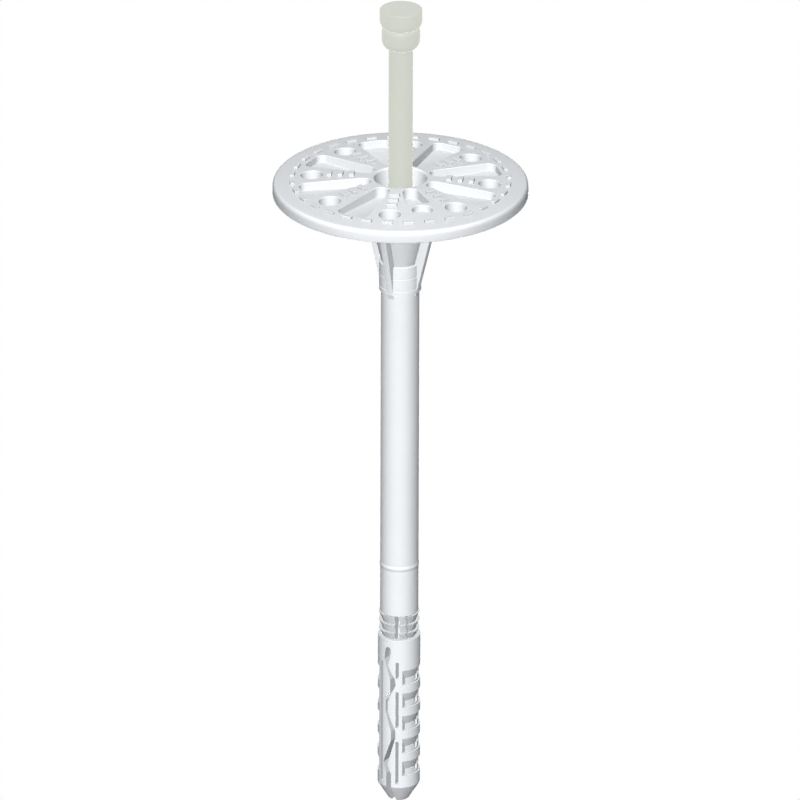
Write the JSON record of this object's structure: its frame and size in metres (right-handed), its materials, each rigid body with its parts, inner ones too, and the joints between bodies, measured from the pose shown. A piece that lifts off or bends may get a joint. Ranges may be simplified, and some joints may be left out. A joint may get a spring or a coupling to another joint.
{
  "type": "insulation wall anchor",
  "caption": "Moulded plastic plug with a round pressure plate, a ribbed neck, a long sleeve and a split expansion tip, opened by a drive-in plastic expansion nail.",
  "frame": {"origin": "the plug's leading tip, on its axis", "axes": "+Z along the plug and the nail, from the tip towards the nail's head; +X and -X through the middles of the two expansion jaws"},
  "size_m": [0.06, 0.06, 0.2028],
  "materials": {
    "plug_plastic": "satin white moulded polypropylene",
    "nail_plastic": "natural, slightly translucent glass-filled polyamide"
  },
  "bodies": {
    "plug": {"pressure_plate": "plug_plastic", "ribbed_neck": "plug_plastic", "insulation_sleeve": "plug_plastic", "crush_zone": "plug_plastic", "expansion_collar": "plug_plastic"},
    "jaw_right": {"expansion_jaw_right": "plug_plastic"},
    "jaw_left": {"expansion_jaw_left": "plug_plastic"},
    "nail": {"nail_shank": "nail_plastic", "nail_head": "nail_plastic"}
  },
  "joints": [
    {"name": "nail_drive", "type": "slide", "parent": "plug", "child": "nail", "axis": [0, 0, -1], "range_m": [0, 0.043]},
    {"name": "jaw_right_hinge", "type": "hinge", "parent": "plug", "child": "jaw_right", "pos_m": [0.005, 0, 0.0407], "axis": [0, -1, 0], "range_deg": [0, 3]},
    {"name": "jaw_left_hinge", "type": "hinge", "parent": "plug", "child": "jaw_left", "pos_m": [-0.005, 0, 0.0407], "axis": [0, 1, 0], "range_deg": [0, 3]}
  ],
  "couplings": [
    {"joint": "jaw_right_hinge", "follows": "nail_drive", "rad_per_m": 1.126},
    {"joint": "jaw_left_hinge", "follows": "nail_drive", "rad_per_m": 1.126}
  ]
}
